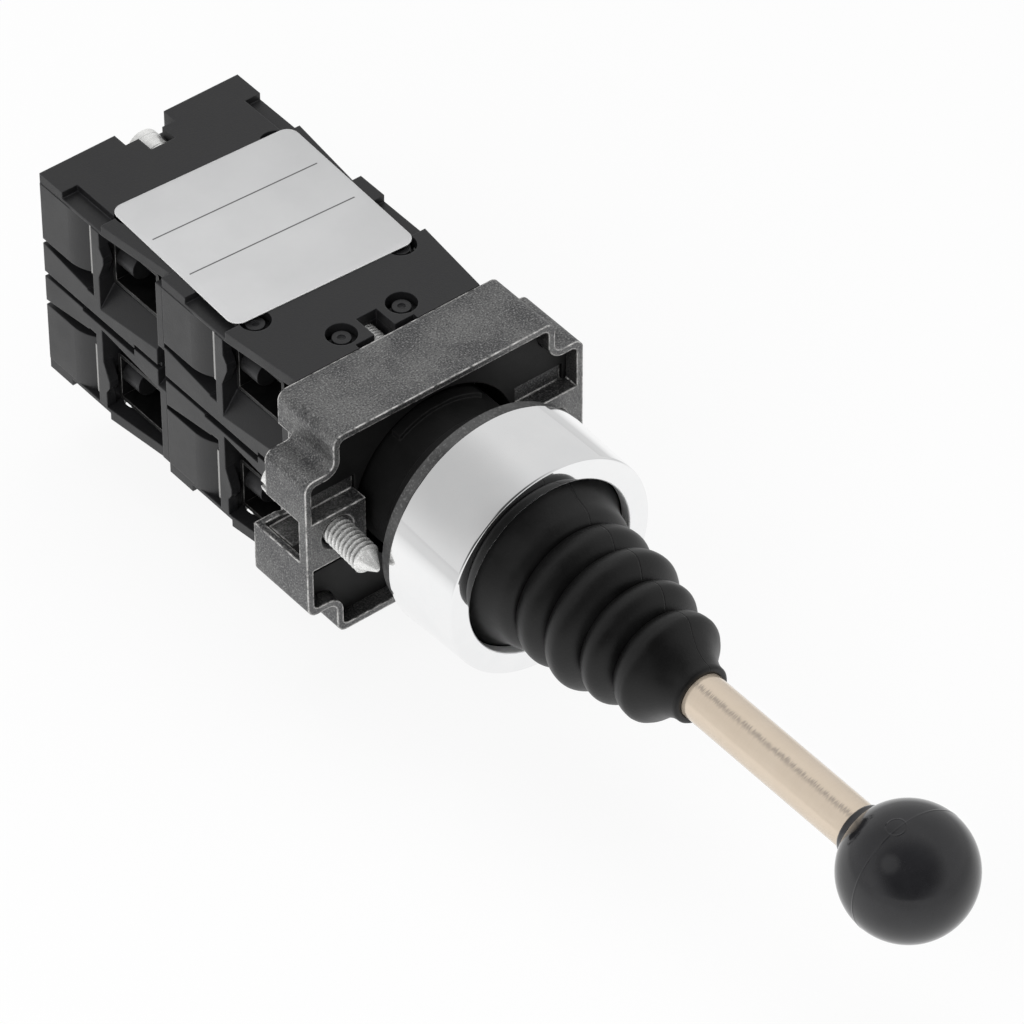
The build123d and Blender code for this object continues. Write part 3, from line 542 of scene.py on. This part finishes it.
def threaded(radius, depth, pitch, y0, y1, centre, steps=40):
    """A right-handed thread along Y."""
    rows = max(2, int((y1 - y0) / pitch * 8))
    vertices = []
    for row in range(rows + 1):
        y = y0 + (y1 - y0) * row / rows
        for index in range(steps):
            angle = 2 * math.pi * index / steps
            wave = abs(2 * ((y / pitch + index / steps) % 1.0) - 1)
            r = radius - depth * min(1.0, max(0.0, (wave - 0.18) / 0.6))
            vertices.append((centre[0] + r * math.cos(angle), y, centre[1] + r * math.sin(angle)))
    faces = bands(steps, rows)
    faces.append(tuple(range(steps)))
    faces.append(tuple(reversed(range(rows * steps, (rows + 1) * steps))))
    return vertices, faces


def slotted_head(radius, y0, y1, slot_width, slot_depth, centre, bore=0.0):
    """A round head with a straight driver slot along X in its rear face, and a bore if it is tapped."""
    floor = y1 - slot_depth
    shapes = [prism(ring_points(radius), y0, floor, centre, bevel=0.05)]
    half = slot_width / 2
    for side in (-1, 1):
        start = math.asin(half / radius)
        arc = [start + (math.pi - 2 * start) * i / 24 for i in range(25)]
        outline = [(radius * math.cos(a), side * radius * math.sin(a)) for a in arc]
        if bore > half:
            low = math.asin(half / bore)
            inner = [math.pi - low - (math.pi - 2 * low) * i / 14 for i in range(15)]
            outline += [(bore * math.cos(a), side * bore * math.sin(a)) for a in inner]
        shapes.append(prism(outline, floor - 0.05, y1, centre, bevel=0.08))
    return joined(*shapes)


def ring_points(radius, count=48):
    """Points round a circle."""
    angles = [2 * math.pi * i / count for i in range(count)]
    return [(radius * math.cos(a), radius * math.sin(a)) for a in angles]


# ------------------------------------------------------------------ pieces


def make_bezel():
    """The turned and chromed ring, with small radii at its edges."""
    corners = (
        (13.0, BEZEL_REAR, 0.1),
        (15.0, BEZEL_REAR, 0.25),
        (14.68, BEZEL_FRONT, 0.3),
        (BEZEL_HOLE_RADIUS, BEZEL_FRONT, 0.22),
        (BEZEL_HOLE_RADIUS, BEZEL_FRONT + 1.5, 0.1),
        (13.0, BEZEL_FRONT + 1.5, 0.1),
    )
    shape = lathe(rounded_outline(corners, 6), steps=360)
    piece = add_piece("bezel_ring_turned", *shape, "chrome_bezel", 50)
    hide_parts("bezel_ring")
    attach(piece, "root")


def fold_outline():
    """The bellows' outer line, rounded over each fold."""
    spots = [*BELLOWS_BASE, BELLOWS_VALLEYS[0]]
    for index, (valley, peak) in enumerate(zip(BELLOWS_VALLEYS, BELLOWS_PEAKS)):
        spots += fold_side(valley, peak, 0.85)
        if index < 3:
            spots += reversed(fold_side(BELLOWS_VALLEYS[index + 1], peak, 1.6)[:-1])
            spots.append(BELLOWS_VALLEYS[index + 1])
    return spots + list(BELLOWS_MOUTH)


def fold_side(valley, peak, slack, steps=14):
    """One side of a fold, from just past a valley to a peak, fuller with less slack."""
    side = []
    for step in range(1, steps + 1):
        turn = math.pi / 2 * step / steps
        rise, reach = math.sin(turn) ** slack, (1 - math.cos(turn)) ** 0.9
        side.append((valley[0] + (peak[0] - valley[0]) * rise, valley[1] + (peak[1] - valley[1]) * reach))
    return side


def make_bellows():
    """The rubber boot in two lathed lengths that meet in the first valley."""
    outline = fold_outline()
    split = outline.index(BELLOWS_VALLEYS[0])
    for name, part, bodies in (
        ("bellows_lower", outline[: split + 1], ("root", "gimbal")),
        ("bellows_upper", outline[split:], ("gimbal", "lever")),
    ):
        outer = [(r, BEZEL_FRONT - reach) for r, reach in part]
        inner = [(r - BELLOWS_WALL if r > 4.6 else 3.04, y + 0.02) for r, y in reversed(outer)]
        piece = add_piece(name, *lathe(outer + inner, steps=256), "bellows_rubber", 60)
        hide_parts("bellows")
        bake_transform(piece)


def make_knob():
    """The moulded ball with its parting line, gate mark and collar."""
    first = math.asin(KNOB_COLLAR / KNOB_RADIUS)
    outline = [(0.001, KNOB_CENTRE - KNOB_RADIUS)]
    angles = {math.pi * step / 120 for step in range(1, 121)}
    angles |= {math.pi * (0.49 + step / 2000) for step in range(40)}
    for angle in sorted(angles):
        if angle > math.pi - first:
            break
        across, along = math.sin(angle), -math.cos(angle)
        out = KNOB_RADIUS + KNOB_RIDGE * math.exp(-((KNOB_RADIUS * along / 0.1) ** 2))
        outline.append((out * across, KNOB_CENTRE + out * along))
    neck = KNOB_CENTRE + math.sqrt(KNOB_RADIUS**2 - KNOB_COLLAR**2)
    end = KNOB_CENTRE + KNOB_REACH
    outline += [(KNOB_COLLAR, neck + 0.05), (KNOB_COLLAR, end - 0.35)]
    outline += [(KNOB_COLLAR - 0.12, end - 0.1), (KNOB_COLLAR - 0.35, end)]
    outline += [(KNOB_BORE, end), (KNOB_BORE, end - 6.5), (0.001, end - 6.5)]
    piece = add_piece("knob_ball", *lathe(outline, steps=160, closed=False), "knob_plastic", 50)
    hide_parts("knob")
    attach(piece, "lever")


def make_clamp_screws():
    """The two pointed screws with rolled threads and slotted heads, leaning a little in their holes."""
    shapes = []
    for side in (-1, 1):
        centre = (side * CLAMP_CENTRE[0], -side * CLAMP_CENTRE[1])
        vertices, faces = joined(
            threaded(*CLAMP_THREAD, *CLAMP_REACH, centre),
            lathe(CLAMP_TIP, 48, False, centre),
            slotted_head(*CLAMP_HEAD, 0.8, 1.0, centre),
        )
        middle = Vector((centre[0], CLAMP_HELD_AT, centre[1]))
        lean = Matrix.Rotation(-side * CLAMP_LEAN[0], 3, "X") @ Matrix.Rotation(side * CLAMP_LEAN[1], 3, "Z")
        shapes.append(([tuple(middle + lean @ (Vector(v) - middle)) for v in vertices], faces))
    piece = add_piece("clamp_screws_threaded", *joined(*shapes), "plated_steel", 30)
    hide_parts("clamp_screws")
    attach(piece, "root")


def make_block_screws():
    """The long block screws, their threads showing in the front slot, with tapped slotted heads."""
    shapes = []
    for side in (-1, 1):
        centre = (0, side * BLOCK_SCREW_HEIGHT)
        for start in BLOCK_STARTS:
            end = start + BLOCK_DEPTH - 0.4
            collar = ring_points(BLOCK_HEAD_RADIUS)
            shapes.append(threaded(BLOCK_SCREW_RADIUS, 0.22, 0.5, start - 1.9, end - 4.3, centre, steps=28))
            shapes.append(prism(collar, end - 4.4, end - 3.3, centre, bevel=0.08))
            shapes.append(slotted_head(BLOCK_HEAD_RADIUS, end - 3.3, end, 0.8, 1.0, centre, BLOCK_SCREW_RADIUS))
    piece = add_piece("block_screws_threaded", *joined(*shapes), "plated_steel", 30)
    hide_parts("block_screws")
    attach(piece, "root")


def make_label():
    """A bare label with rounded corners, stuck a little askew over the seam of the two upper blocks."""
    half = LABEL_SIZE / 2
    corners = [(-half, -half), (half, -half), (half, half), (-half, half)]
    outline = rounded_outline([(*corner, LABEL_CORNER) for corner in corners], 8)
    cosine, sine = math.cos(LABEL_TURN), math.sin(LABEL_TURN)
    base, top = BLOCK_TOP + 0.005, BLOCK_TOP + 0.13
    vertices = []
    for z, share in ((base, 1.0), (top - 0.03, 1.0), (top, 0.9965)):
        for u, v in outline:
            across, along = u * share, v * share
            x = LABEL_MIDDLE[0] + across * cosine - along * sine
            vertices.append((x, LABEL_MIDDLE[1] + across * sine + along * cosine, z))
    count = len(outline)
    faces = [tuple(range(count)), tuple(range(2 * count, 3 * count)), *bands(count, 2)]
    piece = add_piece("label_blank", vertices, faces, "label_paper")
    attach(piece, "root")


# ------------------------------------------------------------------ camera, light and floor


def make_camera():
    """The photograph's viewpoint, with a long lens and no shift."""
    flat, high = math.cos(CAMERA_ELEVATION), math.sin(CAMERA_ELEVATION)
    back = Vector((math.sin(CAMERA_AZIMUTH) * flat, -math.cos(CAMERA_AZIMUTH) * flat, high))
    right = Vector((0, 0, 1)).cross(back).normalized()
    up = back.cross(right)
    turn_cos, turn_sin = math.cos(CAMERA_ROLL), math.sin(CAMERA_ROLL)
    right, up = turn_cos * right + turn_sin * up, turn_cos * up - turn_sin * right
    camera = bpy.data.objects.new("camera", bpy.data.cameras.new("camera"))
    camera.data.lens = CAMERA_LENS
    camera.data.sensor_width = 36
    camera.data.sensor_fit = "HORIZONTAL"
    camera.data.clip_end = 20
    turned = Matrix((right, up, back)).transposed().to_4x4()
    camera.matrix_world = Matrix.Translation(CAMERA_TARGET + CAMERA_DISTANCE * back) @ turned
    bpy.context.scene.collection.objects.link(camera)
    bpy.context.scene.camera = camera


def make_lamp(name, place, size, watts):
    """A soft box that looks at the middle of the object."""
    lamp = bpy.data.objects.new(name, bpy.data.lights.new(name, "AREA"))
    lamp.data.shape = "RECTANGLE"
    lamp.data.size, lamp.data.size_y = size
    lamp.data.energy = watts
    lamp.location = place
    lamp.rotation_euler = (Vector(place) - CAMERA_TARGET).to_track_quat("Z", "Y").to_euler()
    lamp.visible_glossy = False
    bpy.context.scene.collection.objects.link(lamp)


def make_world():
    """White surroundings to the camera; in reflections a softly lit room with one dark side."""
    world = bpy.data.worlds.new("studio")
    world.use_nodes = True
    tree = world.node_tree

    def add(kind, **settings):
        node = tree.nodes.new(kind)
        for key, value in settings.items():
            setattr(node, key, value)
        return node

    def toward(place, near, far, to_near, to_far):
        """A value that runs from to_far to to_near as a direction turns towards a place in the room."""
        dot = add("ShaderNodeVectorMath", operation="DOT_PRODUCT")
        tree.links.new(direction, dot.inputs[0])
        dot.inputs[1].default_value = Vector(place).normalized()
        ramp = add("ShaderNodeMapRange", interpolation_type="SMOOTHSTEP")
        ends = {"From Min": math.cos(far), "From Max": math.cos(near), "To Min": to_far, "To Max": to_near}
        for name, number in ends.items():
            ramp.inputs[name].default_value = number
        tree.links.new(dot.outputs["Value"], ramp.inputs["Value"])
        return ramp.outputs["Result"]

    def combined(operation, first, second):
        node = add("ShaderNodeMath", operation=operation)
        tree.links.new(first, node.inputs[0])
        tree.links.new(second, node.inputs[1])
        return node.outputs[0]

    direction = add("ShaderNodeTexCoord").outputs["Generated"]
    room = toward(ROOM_DARK_SIDE, math.radians(27), math.radians(66), 0.06, 0.68)
    window = toward(ROOM_WINDOW, math.radians(7), math.radians(19), 0.5, 0.0)
    dusk = toward(ROOM_DULL_SIDE, math.radians(4), math.radians(48), 0.8, 1.08)
    seen = combined("ADD", combined("MULTIPLY", room, dusk), window)
    path = add("ShaderNodeLightPath")
    strength = add("ShaderNodeMapRange")
    strength.inputs["To Min"].default_value = 0.5
    tree.links.new(path.outputs["Is Glossy Ray"], strength.inputs["Value"])
    tree.links.new(seen, strength.inputs["To Max"])
    shown = combined("MAXIMUM", path.outputs["Is Camera Ray"], strength.outputs["Result"])
    background = tree.nodes["Background"]
    background.inputs["Color"].default_value = (1, 1, 1, 1)
    tree.links.new(shown, background.inputs["Strength"])
    bpy.context.scene.world = world


def make_floor():
    """A plain white sheet under the object."""
    mesh = bpy.data.meshes.new("floor")
    half = 3.0
    corners = [(-half, -half), (half, -half), (half, half), (-half, half)]
    mesh.from_pydata([(x, y, FLOOR_HEIGHT) for x, y in corners], [], [(0, 1, 2, 3)])
    floor = bpy.data.objects.new("floor", mesh)
    bpy.context.scene.collection.objects.link(floor)
    s = Surface("floor_white", base_color=(0.82, 0.82, 0.82), roughness=0.9)
    glow = s.add("ShaderNodeEmission")
    path = s.add("ShaderNodeLightPath")
    shown = s.sum(path.outputs["Is Camera Ray"], path.outputs["Is Glossy Ray"], "MAXIMUM")
    away = s.add("ShaderNodeVectorMath", operation="LENGTH")
    s.feed(away.inputs[0], s.place)
    far = s.sum(s.span(away.outputs["Value"], 0.09, 0.2), path.outputs["Is Glossy Ray"], "MULTIPLY")
    s.feed(glow.inputs["Color"], s.mix(far, (1.0, 1.0, 1.0), (0.68, 0.68, 0.68)))
    blend = s.add("ShaderNodeMixShader")
    s.feed(blend.inputs[0], s.span(shown, 0.0, 1.0, 0.0, 0.88))
    s.feed(blend.inputs[1], s.shader.outputs[0])
    s.feed(blend.inputs[2], glow.outputs[0])
    s.feed(s.tree.nodes["Material Output"].inputs["Surface"], blend.outputs[0])
    mesh.materials.append(s.material)


bpy.context.scene.view_settings.view_transform = "Standard"
make_camera()
make_world()
make_floor()
make_lamp("soft_left", (-0.55, -0.25, 0.45), (0.5, 0.5), 3.2)
make_lamp("soft_top", (0.1, 0.1, 0.8), (0.7, 0.7), 3.0)
dress_solids()
make_bezel()
make_bellows()
make_knob()
make_clamp_screws()
make_block_screws()
make_label()
